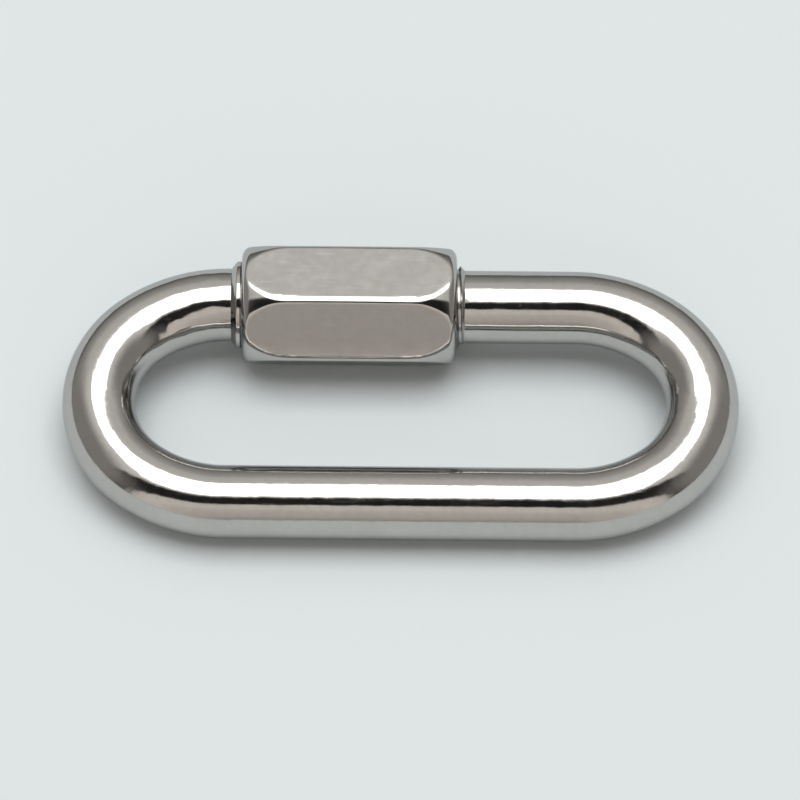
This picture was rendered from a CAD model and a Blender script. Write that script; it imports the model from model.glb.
# %% [markdown]
# # A chain quick link in polished stainless steel
#
# The real link is one round rod, bent to an oval, with a raised thread on each end and a long
# hexagon nut that bridges the gap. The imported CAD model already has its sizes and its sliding
# joint. Here it gets what the solids leave out: the screw thread, the softly polished edges and
# the finish of the steel, in the light of a small photo studio.

# %% Load the fixed frame
import math

import bmesh
import bpy
from mathutils import Matrix, Vector


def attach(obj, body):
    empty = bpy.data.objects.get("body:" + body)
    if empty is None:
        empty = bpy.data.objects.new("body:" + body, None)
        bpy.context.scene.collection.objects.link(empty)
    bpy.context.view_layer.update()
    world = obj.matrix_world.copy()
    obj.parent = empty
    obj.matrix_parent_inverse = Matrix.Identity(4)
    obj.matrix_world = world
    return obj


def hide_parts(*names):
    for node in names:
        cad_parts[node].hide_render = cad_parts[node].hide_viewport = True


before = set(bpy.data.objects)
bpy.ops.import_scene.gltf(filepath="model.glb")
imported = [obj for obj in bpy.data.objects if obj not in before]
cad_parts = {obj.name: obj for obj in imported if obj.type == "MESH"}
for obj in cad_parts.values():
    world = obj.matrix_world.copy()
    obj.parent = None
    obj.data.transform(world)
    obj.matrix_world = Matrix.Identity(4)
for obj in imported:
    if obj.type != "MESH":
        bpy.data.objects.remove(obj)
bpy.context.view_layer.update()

# %% [markdown]
# ## Sizes
#
# A piece goes where the CAD solid is, so the same sizes are named here once, in millimetres.
# The link lies as it comes to rest: the nut lifts its own leg, and the plane of the link leans.

# %% Sizes of the rod and where it lies
MM = 0.001
rod_r = 6.0
leg_gap = 36.5
bow_start = 28.5
shoulder_r = 23.75
shoulder_angle = math.atan(0.75)
tip_shift = (shoulder_r - leg_gap / 2) / math.cos(shoulder_angle)

nut_flat = 9.5
edge_r = 0.9
corner_at = (nut_flat - edge_r) / math.cos(math.pi / 6)
nut_reach = corner_at + edge_r

lean = math.asin((nut_flat - rod_r) / leg_gap)
mid = Vector((0, (rod_r - nut_reach) / 2, (nut_flat + rod_r) / 2))
plane_y = Vector((0, math.cos(lean), math.sin(lean)))
plane_up = Vector((0, -math.sin(lean), math.cos(lean)))
screw_axis = mid + plane_y * leg_gap / 2
print("lean of the link: %.2f degrees, screw axis at" % math.degrees(lean), screw_axis.yz)

# %% Stations along the leg that the nut closes
collar_x = (-27.2, -26.5)
collar_r = 7.2
nut_x = (-26.4, 9.1)
mouth_x = (-19.9, -5.4)
run_out_x = (9.5, 10.4)
end_chamfer = 0.8
print("clear mouth: %.1f mm" % (mouth_x[1] - mouth_x[0]))

# %% [markdown]
# ## The screw thread
#
# A thread is one short zigzag outline, swept round the axis while it climbs one pitch a turn.
# Blender's spin operator does this when it is given a step along the axis as well as an angle.
# One turn is spun, and since it doesn't end where it starts, this full spin isn't merged. Copies
# of it follow each other, each merged with the turn before. A limit on the radius then makes a
# chamfer or a run-out, and two planes trim the length. The Screw modifier winds a thread too, but
# its result would have to be applied before such a limit.


# %% Helpers to pick what an operator made
def edges_of(geom):
    return [g for g in geom if isinstance(g, bmesh.types.BMEdge)]


def verts_of(geom):
    return [g for g in geom if isinstance(g, bmesh.types.BMVert)]


def everything(bm):
    return bm.verts[:] + bm.edges[:] + bm.faces[:]


# %% Thread outline
pitch = 1.5
thread_r = 7.0
thread_depth = 0.812
flank = thread_depth * math.tan(math.pi / 6)
crest_flat = pitch / 8


def thread_outline(grow=0.0, slack=0.0, cuts=3):
    """One pitch of the thread: (distance along the axis, radius). The crest is in the middle."""
    crest, root = thread_r + grow, thread_r - thread_depth + grow
    half = crest_flat / 2 + slack
    corners = [(0, root), (pitch / 2 - half - flank, root), (pitch / 2 - half, crest)]
    corners += [(pitch - x, r) for x, r in reversed(corners)]
    points = []
    for (x0, r0), (x1, r1) in zip(corners, corners[1:]):
        points += [(x0 + (x1 - x0) * k / cuts, r0 + (r1 - r0) * k / cuts) for k in range(cuts)]
    return points + corners[-1:]


print("thread outline:", len(thread_outline()), "points, %.2f mm deep" % thread_depth)

# %% Helper that winds a thread
round_steps = 96
merge_dist, plane_dist = 1e-3, 1e-4


def set_radius(vert, radius):
    out = Vector((0, *(vert.co - screw_axis).yz)).normalized()
    vert.co = Vector((vert.co.x, screw_axis.y, screw_axis.z)) + out * radius


def wind_thread(outline, x0, x1, limit):
    """Returns a bmesh tube with a thread from x0 to x1, after limit(x, radius) at each vertex."""
    tube = bmesh.new()
    first = math.floor(x0 / pitch - 1) * pitch
    turns = math.ceil((x1 - first) / pitch)
    verts = [tube.verts.new((first + x, screw_axis.y + r, screw_axis.z)) for x, r in outline]
    edges = [tube.edges.new(pair) for pair in zip(verts, verts[1:])]
    bmesh.ops.spin(tube, geom=verts + edges, cent=screw_axis, axis=(1, 0, 0),
                   dvec=(pitch / round_steps, 0, 0), angle=2 * math.pi, steps=round_steps)
    turn = everything(tube)
    for k in range(1, turns):
        copy = bmesh.ops.duplicate(tube, geom=turn)["geom"]
        bmesh.ops.translate(tube, verts=verts_of(copy), vec=(k * pitch, 0, 0))
    bmesh.ops.remove_doubles(tube, verts=tube.verts, dist=merge_dist)
    for vert in tube.verts:
        set_radius(vert, limit(vert.co.x, (vert.co - screw_axis).yz.length))
    for x, side in ((x0, "clear_inner"), (x1, "clear_outer")):
        bmesh.ops.bisect_plane(tube, geom=everything(tube), dist=plane_dist,
                               plane_co=(x, 0, 0), plane_no=(1, 0, 0), **{side: True})
    bmesh.ops.remove_doubles(tube, verts=tube.verts, dist=merge_dist)
    return tube


print("a turn of thread has", round_steps, "steps")


# %% Helpers that join two skins
def add_to(bm, other):
    """Moves the content of one bmesh into another."""
    carrier = bpy.data.meshes.new("carrier")
    other.to_mesh(carrier)
    other.free()
    bm.from_mesh(carrier)
    bpy.data.meshes.remove(carrier)


def open_loop(bm, x):
    """The open edges that lie in the plane at x."""
    return [e for e in bm.edges
            if e.is_boundary and all(abs(v.co.x - x) < merge_dist for v in e.verts)]


# %% [markdown]
# ## The bent rod
#
# The real rod is drawn, threaded and bent round a former. The mesh is made the same way: a ring
# of vertices is extruded along the straight legs and spun round the centre of each bend. A curve
# with a round bevel would also do, but spins keep the true arcs and let the thread join the rod
# in one closed skin.

# %% Helpers that carry a ring along the rod
rod_sides = 96


def ring_at(bm, x, radius, sides):
    """A circle of edges round the screw axis."""
    turn = Matrix.Rotation(math.pi / 2, 4, "Y")
    place = Matrix.Translation((x, screw_axis.y, screw_axis.z)) @ turn
    made = bmesh.ops.create_circle(bm, cap_ends=False, segments=sides, radius=radius, matrix=place)
    return list(dict.fromkeys(e for v in made["verts"] for e in v.link_edges))


def draw_rod(bm, ring, move, radius=None):
    """Extrudes a ring of edges by move, and gives the new ring another radius if asked."""
    made = bmesh.ops.extrude_edge_only(bm, edges=ring)["geom"]
    verts = verts_of(made)
    bmesh.ops.translate(bm, verts=verts, vec=move)
    if radius:
        for vert in verts:
            set_radius(vert, radius)
    new_ring = set(verts)
    return [e for e in edges_of(made) if new_ring.issuperset(e.verts)]


def bend_rod(bm, ring, centre, angle, steps):
    """Spins a ring of edges round a point of the link plane."""
    verts = list(dict.fromkeys(v for e in ring for v in e.verts))
    pivot = mid + plane_y * centre[1] + Vector((centre[0], 0, 0))
    made = bmesh.ops.spin(bm, geom=verts + ring, cent=pivot, axis=plane_up,
                          angle=angle, steps=steps)
    last = set(verts_of(made["geom_last"]))
    return [e for e in edges_of(made["geom_last"]) if last.issuperset(e.verts)]


print("the rod has", rod_sides, "sides")

# %% [markdown]
# The collar behind the short thread stops the nut, and a short cone leads from it to the rod. It
# is no separate ring on the real link, so the ring of vertices only steps out there and back in.

# %% Form the stop collar and its cone
collar_lip = 7.05
cone_len = 0.9

link = bmesh.new()
ring = ring_at(link, collar_x[1], collar_lip, rod_sides)
collar_front = draw_rod(link, ring, (0, 0, 0), collar_r)
collar_back = draw_rod(link, collar_front, (collar_x[0] - collar_x[1], 0, 0))
ring = draw_rod(link, collar_back, (-cone_len, 0, 0), rod_r)
ring = draw_rod(link, ring, (cone_len - collar_x[0] - bow_start, 0, 0))
print("collar:", len(link.faces), "faces")

# %% Bend the rod round to the long thread
tip_x = bow_start + tip_shift * math.sin(shoulder_angle)
tip_angle = math.pi - 2 * shoulder_angle
shoulder_y = leg_gap / 2 - shoulder_r
shoulder_steps, tip_steps = 18, 54
join_len = 0.1
rod_end = run_out_x[1] + join_len

for side in (-1, 1):
    x, y = side * bow_start, side * shoulder_y
    ring = bend_rod(link, ring, (x, -y), shoulder_angle, shoulder_steps)
    ring = bend_rod(link, ring, (side * tip_x, 0), tip_angle, tip_steps)
    ring = bend_rod(link, ring, (x, y), shoulder_angle, shoulder_steps)
    if side < 0:
        ring = draw_rod(link, ring, (2 * bow_start, 0, 0))
ring = draw_rod(link, ring, (rod_end - bow_start, 0, 0))
print("bent rod: its long end stops at x = %.2f mm" % ring[0].verts[0].co.x)

# %% Soften the collar
collar_soft = 0.14
bmesh.ops.bevel(link, geom=collar_front + collar_back, offset=collar_soft, segments=4,
                profile=0.5, affect="EDGES", material=-1, clamp_overlap=True)
print("rod with its collar:", len(link.faces), "faces")

# %% [markdown]
# Both rod ends have a thread with a chamfered start, and the long one runs out into the rod. Each
# is wound as a tube of its own and bridged to the open end of the rod. Threads could also be left
# as loose sleeves over the rod, but one closed skin has no hidden faces.


# %% Wind both threads on and close the skin
def short_limit(x, r):
    return max(min(r, thread_r - end_chamfer + mouth_x[0] - x), rod_r)


def long_limit(x, r):
    chamfer = thread_r - end_chamfer + x - mouth_x[1]
    run_out = thread_r - (x - run_out_x[0]) / (run_out_x[1] - run_out_x[0])
    return max(min(r, chamfer, run_out), rod_r)


add_to(link, wind_thread(thread_outline(), collar_x[1], mouth_x[0], short_limit))
add_to(link, wind_thread(thread_outline(), mouth_x[1], run_out_x[1], long_limit))
bmesh.ops.bridge_loops(link, edges=open_loop(link, collar_x[1]))
bmesh.ops.bridge_loops(link, edges=open_loop(link, run_out_x[1]) + open_loop(link, rod_end))
for x in mouth_x:
    bmesh.ops.edgeloop_fill(link, edges=open_loop(link, x))
print("link skin:", len(link.faces), "faces, open edges:", sum(e.is_boundary for e in link.edges))

# %% [markdown]
# A bmesh becomes an object in one helper. Its normals are made to point outwards, and an edge
# that turns sharply is marked, so that smooth shading stops there.


# %% Helper that finishes a mesh as a piece
def make_piece(bm, name, body, node, sharp=32):
    bmesh.ops.recalc_face_normals(bm, faces=bm.faces)
    for face in bm.faces:
        face.smooth = True
    for edge in bm.edges:
        edge.smooth = len(edge.link_faces) == 2 and edge.calc_face_angle() < math.radians(sharp)
    bmesh.ops.scale(bm, verts=bm.verts, vec=(MM, MM, MM))
    mesh = bpy.data.meshes.new(name)
    bm.to_mesh(mesh)
    bm.free()
    piece = bpy.data.objects.new(name, mesh)
    bpy.context.scene.collection.objects.link(piece)
    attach(piece, body)
    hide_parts(node)
    print(name, "has", sum(len(p.vertices) - 2 for p in mesh.polygons), "triangles")
    return piece


link_rod = make_piece(link, "link_rod", "link", "link_body")

# %% [markdown]
# ## The sleeve nut
#
# The real nut starts as a turned blank with a crowned outline at both ends. Six flats are milled
# on it and everything is polished, so that each flat ends in an oval with a soft rim. The blank
# is a ring extruded along that outline. Milling is then one rule for every vertex: its radius is
# the smaller of the turned one and the hexagon's, with a soft change from one to the other.
# Cutting with planes would leave knife edges, and bevelling those thin ovals is less even.

# %% Turned outline of the nut
half_len = (nut_x[1] - nut_x[0]) / 2
nut_mid = (nut_x[0] + nut_x[1]) / 2
crown_len, crown_r, rim_r = 8.5, 24.0, 2.0
crown_x, rim_x = half_len - crown_len, half_len - rim_r
crown_centre = nut_reach - crown_r
rim_centre = crown_centre + math.sqrt((crown_r - rim_r) ** 2 - (rim_x - crown_x) ** 2)
rim_turn = math.asin((rim_x - crown_x) / (crown_r - rim_r))
rim_steps, crown_steps, middle_steps = 20, 30, 8

outline = []
for k in range(rim_steps + 1):
    a = math.pi / 2 + (rim_turn - math.pi / 2) * k / rim_steps
    outline.append((rim_x + rim_r * math.sin(a), rim_centre + rim_r * math.cos(a)))
for k in range(1, crown_steps + 1):
    a = rim_turn * (1 - k / crown_steps)
    outline.append((crown_x + crown_r * math.sin(a), crown_centre + crown_r * math.cos(a)))
for k in range(1, middle_steps):
    outline.append((crown_x * (1 - k / middle_steps), nut_reach))
outline += [(-x, r) for x, r in reversed(outline)]
print("outline of the nut:", len(outline), "rings, %.2f mm long" % (2 * half_len))

# %% [markdown]
# The columns of the blank are crowded towards the six edges, where the surface turns most.

# %% Extrude the blank
nut_sides = 384
sector = math.pi / 3


def to_sector(angle):
    """The angle from the middle of the nearest flat; flats face up and down."""
    return (angle + sector / 2) % sector - sector / 2


nut = bmesh.new()
ring = ring_at(nut, nut_mid + outline[0][0], outline[0][1], nut_sides)
for vert in nut.verts:
    spoke = (vert.co - screw_axis).yz
    a = to_sector(math.atan2(spoke.x, spoke.y))
    crowd = sector / 2 * math.sin(a * math.pi / sector) - a
    bmesh.ops.rotate(nut, verts=[vert], cent=screw_axis, matrix=Matrix.Rotation(-crowd, 3, "X"))
for (x0, _), (x1, r1) in zip(outline, outline[1:]):
    ring = draw_rod(nut, ring, (x1 - x0, 0, 0), r1)
print("blank:", len(nut.faces), "faces")

# %% [markdown]
# Buffing always in one direction rolls each flat over at one side: a wide soft arc leaves the
# flat, and a tight one meets the next flat. Both arcs touch, so the edge has no crease. The wheel
# bites more at the ends of the nut, so the wide arc grows there, and the border between a flat
# and the crown is softer at the side that is rolled over.

# %% Outline of the buffed hexagon
tight_r, roll_turn = 0.5, math.radians(28)
roll_middle, roll_end, roll_len = 1.8, 4.2, 14.0


def ray_at(angle):
    return Vector((math.cos(angle), math.sin(angle)))


def reach_of_arc(centre, radius, ray):
    """Distance along a ray from the axis to the far side of an arc."""
    along = centre.dot(ray)
    return along + math.sqrt(max(radius ** 2 - centre.length_squared + along ** 2, 0))


def edge_arcs(roll_r):
    """Centres of the wide and the tight arc, and the angles where each of them starts or ends."""
    inset = (roll_r - tight_r) * math.cos(sector - roll_turn)
    along = (nut_flat - tight_r - (nut_flat - roll_r) * math.cos(sector) - inset) / math.sin(sector)
    roll_mid = Vector((nut_flat - roll_r, along))
    tight_mid = roll_mid + (roll_r - tight_r) * ray_at(roll_turn)
    roll_stop = roll_mid + roll_r * ray_at(roll_turn)
    tight_stop = tight_mid + tight_r * ray_at(sector)
    ends = [(nut_flat, along), roll_stop, tight_stop]
    return roll_mid, tight_mid, [math.atan2(y, x) for x, y in ends]


def buffed_radius(a, x):
    """Distance from the axis to the buffed hexagon, and whether that point is on a flat."""
    near_end = max(abs(x - nut_mid) - half_len + roll_len, 0) / roll_len
    roll_r = roll_middle + (roll_end - roll_middle) * near_end ** 2
    roll_mid, tight_mid, (roll_from, tight_from, tight_to) = edge_arcs(roll_r)
    a = a + sector if a < tight_to - sector else a
    if a < roll_from:
        return nut_flat / math.cos(a), True
    if a < tight_from:
        return reach_of_arc(roll_mid, roll_r, ray_at(a)), False
    return reach_of_arc(tight_mid, tight_r, ray_at(a)), False


mid_arcs = [round(math.degrees(a), 1) for a in edge_arcs(roll_middle)[2]]
print("arcs at mid-length, degrees:", mid_arcs)

# %% Mill the flats
mill_soft, roll_share = 0.15, 0.6


def soft_min(a, b, width):
    h = max(width - abs(a - b), 0) / width
    return min(a, b) - h * h * width / 4


milled = nut.verts.layers.float.new("milled")
for vert in nut.verts:
    spoke = (vert.co - screw_axis).yz
    a = to_sector(math.atan2(-spoke.x, spoke.y))
    soft = mill_soft * (1 + roll_share * math.sin(2 * math.pi * a / sector))
    flat_r, on_flat = buffed_radius(a, vert.co.x)
    vert[milled] = min(max((spoke.length - flat_r) / soft, 0), 1) if on_flat else 0
    set_radius(vert, soft_min(spoke.length, flat_r, soft))
print("milled:", sum(v[milled] > 0.5 for v in nut.verts), "vertices lie on the flats")

# %% [markdown]
# The bore is a second skin with its own thread, a little larger than the one on the rod. At each
# end a flat ring is filled between its mouth and the rim. Bridging two rings with so different
# numbers of vertices would twist.

# %% Thread the bore
bore_mouth = 7.35
bore_grow, bore_slack, bore_cuts = 0.08, 0.06, 2


def bore_limit(x, r):
    return max(r, bore_mouth - min(x - nut_x[0], nut_x[1] - x))


add_to(nut, wind_thread(thread_outline(bore_grow, bore_slack, bore_cuts), *nut_x, bore_limit))
for x in nut_x:
    bmesh.ops.triangle_fill(nut, edges=open_loop(nut, x), use_beauty=True)
print("nut skin: open edges:", sum(e.is_boundary for e in nut.edges))
hex_sleeve = make_piece(nut, "hex_sleeve", "nut", "sleeve_nut")

# %% [markdown]
# ## Shader maths
#
# A material is a net of nodes. One small class wraps a socket, so that a sum of two patterns is
# written as a sum, and each operator adds a Math node. One method makes every other node: it
# takes the node's type, the values or links of its sockets, and its settings by name, which it
# sets first because they can change the sockets.


# %% A socket that can be added and multiplied
class Wire:
    def __init__(self, tree, socket=None):
        self.tree, self.socket = tree, socket

    def node(self, kind, values=None, out=0, **settings):
        made = self.tree.nodes.new("ShaderNode" + kind)
        for name, value in settings.items():
            if name == "stops":
                ramp = made.color_ramp
                for place, _ in value[1:-1]:
                    ramp.elements.new(place)
                for stop, (place, shade) in zip(ramp.elements, value):
                    stop.position, stop.color = place, (*shade, 1)
            else:
                setattr(made, name, value)
        for name, value in (values or {}).items():
            if isinstance(value, Wire):
                self.tree.links.new(value.socket, made.inputs[name])
            else:
                made.inputs[name].default_value = value
        return Wire(self.tree, made.outputs[out] if made.outputs else None)

    def output(self, name):
        """Another output of the node that this wire comes from."""
        return Wire(self.tree, self.socket.node.outputs[name])

    def math(self, operation, *values):
        return self.node("Math", dict(enumerate(values)), operation=operation)

    def __add__(self, other):
        return self.math("ADD", self, other)

    def __sub__(self, other):
        return self.math("SUBTRACT", self, other)

    def __rsub__(self, other):
        return self.math("SUBTRACT", other, self)

    def __mul__(self, other):
        return self.math("MULTIPLY", self, other)

    def __gt__(self, other):
        return self.math("GREATER_THAN", self, other)

    def __lt__(self, other):
        return self.math("LESS_THAN", self, other)

    __radd__ = __add__
    __rmul__ = __mul__

    def smooth_step(self, low, high):
        return self.node("MapRange", {"Value": self, "From Min": low, "From Max": high},
                         interpolation_type="SMOOTHSTEP")

    def blend(self, shade_0, shade_1):
        return self.node("Mix", {0: self, 6: shade_0, 7: shade_1}, 2, data_type="RGBA")


print("wire operators ready")

# %% [markdown]
# ## The polished steel
#
# Polished stainless steel is a mirror with a warm grey tint. What makes it real is small: soft
# ripples from the polishing wheel, which bend the edge of a reflection, fine scratches in several
# directions, a faint cloud in the gloss, and a few pits. All of these patterns are noise on
# Object coordinates, stretched for the scratches. A painted texture could hold them as well, but
# noise needs no unwrapping and has no seam.

# %% Helpers for the patterns in the steel
STEEL = (0.52, 0.505, 0.485, 1)
STEEL_DULL = (0.46, 0.445, 0.425, 1)
EDGE_TINT = (0.74, 0.77, 0.79, 1)


def start_material(name):
    material = bpy.data.materials.new(name)
    material.use_nodes = True
    material.node_tree.nodes.clear()
    return material, Wire(material.node_tree)


def noise(wire, at, scale, detail=1.0):
    return wire.node("TexNoise", {"Vector": at, "Scale": scale, "Detail": detail})


def clouds(wire, at, scale):
    """Noise stays near its middle value, so its range is stretched to show as clouds."""
    return noise(wire, at, scale, 2.0).smooth_step(0.3, 0.7)


def scratches(wire, at, turn, scale):
    """Short fine lines along one direction, a few in every square centimetre."""
    along = wire.node("Mapping", {"Vector": at, "Rotation": turn, "Scale": (0.08, 1, 1)})
    return noise(wire, along, scale, 0.0).smooth_step(0.70, 0.80)


def finish_material(wire, colour, roughness, height, depth):
    normal = wire.node("Bump", {"Strength": 1.0, "Distance": depth, "Height": height})
    shader = wire.node("BsdfPrincipled", {"Base Color": colour, "Metallic": 1.0,
                                          "Roughness": roughness, "Normal": normal,
                                          "Specular Tint": EDGE_TINT})
    wire.node("OutputMaterial", {"Surface": shader})


print("steel patterns ready")

# %% [markdown]
# The rod isn't the same all over. Its thread is duller, the two end faces keep the fine rings of
# the lathe, and beside the collar, where the rod was held for bending, it is a little uneven. Each
# place could be painted by hand, but it lies between two stations of the leg, so a comparison of
# the coordinates is enough.

# %% Where the rod differs
ring_pitch, end_slack = 0.4, 0.01
held_x = (-42, -36)

rod_steel, w = start_material("polished_rod_steel")
at = w.node("TexCoord", out="Object")
x = w.node("SeparateXYZ", {"Vector": at})
nut_leg = x.output("Y") > 0
on_thread = (x > collar_x[1] * MM) * (x < run_out_x[1] * MM) * nut_leg
on_end = (x > (mouth_x[0] - end_slack) * MM) * (x < (mouth_x[1] + end_slack) * MM) * nut_leg
was_held = x.smooth_step(held_x[0] * MM, held_x[1] * MM) * (x < collar_x[0] * MM) * nut_leg

flat_at = w.node("Mapping", {"Vector": at, "Scale": (0, 1, 1)})
axis_at = (0, screw_axis.y * MM, screw_axis.z * MM)
off_axis = w.node("VectorMath", {0: flat_at, 1: axis_at}, "Value", operation="DISTANCE")
rings = w.math("SINE", off_axis * (2 * math.pi / (ring_pitch * MM)))
print("masks of the rod:", len(rod_steel.node_tree.nodes), "nodes")

# %% Polished rod
mottle = clouds(w, at, 160)
stains = clouds(w, at, 850)
ripple = noise(w, at, 420)
dents = noise(w, at, 450, 0.0)
grain = noise(w, at, 2600)
lines = (scratches(w, at, (0, 0, 0.3), 2200) + scratches(w, at, (0, 0, 2.0), 1900)
         + scratches(w, at, (0, 0, -0.9), 1700))
pits = noise(w, at, 900, 0.0).smooth_step(0.82, 0.86)

colour = (mottle * 0.3 + stains * 0.3 + on_thread * 0.5 + pits * 0.6).blend(STEEL, STEEL_DULL)
wear = mottle * 0.03 + stains * 0.03 + grain * 0.03 + lines * 0.04
roughness = 0.05 + wear + on_thread * 0.14 + pits * 0.1
marks = was_held * (dents - 0.5) * 3.0 + on_end * rings * 0.1
height = ripple + grain * 0.08 - lines * 0.02 - pits * 0.05 + marks
finish_material(w, colour, roughness, height, depth=0.03 * MM)
link_rod.data.materials.append(rod_steel)
print("polished_rod_steel:", len(rod_steel.node_tree.nodes), "nodes")

# %% [markdown]
# The nut's flats were milled and only lightly buffed, so they are satin. Its edges and crowned
# ends are as bright as the rod. Two materials could share the mesh, but their border would follow
# its faces. The attribute that the milling left on the vertices gives a soft border instead.

# %% Satin flats on a polished nut
nut_steel, w = start_material("satin_nut_steel")
at = w.node("TexCoord", out="Object")
flats = w.node("Attribute", out="Fac", attribute_name="milled")

mottle = clouds(w, at, 150)
stains = clouds(w, at, 700)
grain = clouds(w, at, 2800)
ripple = noise(w, at, 400)
lines = scratches(w, at, (0, 0.2, 0), 2300) + scratches(w, at, (0.4, 0, 1.3), 1900)

colour = (mottle * 0.3 + stains * 0.2 + grain * 0.2).blend(STEEL, STEEL_DULL)
roughness = 0.07 + mottle * 0.03 + flats * 0.08 + flats * stains * 0.05 + lines * 0.03
height = ripple * 0.5 + flats * mottle * 2.0 + grain * (0.04 + flats * 0.1) - lines * 0.05
finish_material(w, colour, roughness, height, depth=0.012 * MM)
hex_sleeve.data.materials.append(nut_steel)
print("satin_nut_steel:", len(nut_steel.node_tree.nodes), "nodes")

# %% [markdown]
# ## Floor, light and camera
#
# The link lies on a pale floor under one large soft light, a little behind it. Polished metal
# shows the whole room, so the world is a plain studio: a warm front wall, a dark gap that arches
# round it, a back wall that fades downwards, and a dim wall at each side. Panels could stand
# round the link as objects, but a world painted by direction has no edges to place.

# %% Floor
FLOOR_PAPER = (0.71, 0.76, 0.78, 1)
floor_half = 3

floor_mesh = bmesh.new()
bmesh.ops.create_grid(floor_mesh, x_segments=1, y_segments=1, size=floor_half)
floor = bpy.data.objects.new("floor", bpy.data.meshes.new("floor"))
floor_mesh.to_mesh(floor.data)
floor_mesh.free()
bpy.context.scene.collection.objects.link(floor)
paper, w = start_material("floor_paper")
shader = w.node("BsdfDiffuse", {"Color": FLOOR_PAPER})
w.node("OutputMaterial", {"Surface": shader})
floor.data.materials.append(paper)
print("floor laid, %d m wide" % (2 * floor_half))

# %% [markdown]
# The brightness of the walls is a short list of places and levels, from the floor line in front
# over the top to the floor line behind, and each wall has one tint.


# %% Brightness of the walls
def tinted(tint, *levels):
    return [(place, tuple(level * c for c in tint)) for place, level in levels]


SIDE_WALL = (0.33, 0.315, 0.3, 1)
front_wall = tinted((1, 0.94, 0.87), (0.0, 0.42), (0.06, 0.61), (0.16, 0.72),
                    (0.21, 0.86), (0.265, 0.84))
dark_gap = tinted((1, 1, 1), (0.28, 0.02), (0.39, 0.02))
back_wall = tinted((1, 0.98, 0.94), (0.41, 0.9), (0.635, 0.9), (0.685, 0.76), (0.75, 0.72),
                   (0.82, 0.49), (0.89, 0.37), (1.0, 0.13))
print("walls:", len(front_wall + dark_gap + back_wall), "stops")

# %% Paint the studio
studio = bpy.data.worlds.new("studio")
studio.use_nodes = True
studio.node_tree.nodes.clear()
bpy.context.scene.world = studio
w = Wire(studio.node_tree)
sides = w.node("SeparateXYZ", {"Vector": w.node("TexCoord", out="Generated")})
depth, height = sides.output("Y"), sides.output("Z")
over = w.math("ARCTAN2", height, 0 - depth) * (1 / math.pi)
from_front = w.math("ARCCOSINE", 0 - depth) * (1 / math.pi)
round_up = w.math("MAXIMUM", over, from_front)
walls = w.node("ValToRGB", {"Fac": round_up}, stops=front_wall + dark_gap + back_wall)
far_side = (w.math("ABSOLUTE", sides) + height * 0.3).smooth_step(0.70, 0.98)
room_light = w.node("Background", {"Color": far_side.blend(walls, SIDE_WALL)})
w.node("OutputWorld", {"Surface": room_light})
print("studio painted:", len(studio.node_tree.nodes), "nodes")

# %% Soft light
lamp = bpy.data.lights.new("soft_light", "AREA")
lamp.shape = "RECTANGLE"
lamp.size, lamp.size_y = 1.1, 0.97
lamp.energy = 10
soft_light = bpy.data.objects.new("soft_light", lamp)
soft_light.location = (0, 0.135, 1.3)
bpy.context.scene.collection.objects.link(soft_light)
print("soft light of %d W" % lamp.energy)

# %% [markdown]
# The picture was taken from well above with a long lens, so the camera stands a metre away with a
# narrow view. Its small roll and aim put the link at the same place in a square picture.

# %% Camera
focal_px, view_px = 6096.5, 800
elevation, roll, away = math.radians(56.7), 0.0092, 1.0
aim_right, aim_up = -0.11, 0.66

cam = bpy.data.cameras.new("camera")
cam.lens = focal_px / view_px * cam.sensor_width
back = Vector((0, -math.cos(elevation), math.sin(elevation)))
right = Matrix.Rotation(roll, 3, back) @ Vector((1, 0, 0))
up = back.cross(right)
aim = (mid + right * aim_right + up * aim_up) * MM
turn = Matrix((right, up, back)).transposed().to_4x4()
camera = bpy.data.objects.new("camera", cam)
camera.matrix_world = Matrix.Translation(aim + back * away) @ turn
bpy.context.scene.collection.objects.link(camera)
bpy.context.scene.camera = camera
bpy.context.scene.view_settings.view_transform = "Standard"
print("camera lens: %.1f mm" % cam.lens)
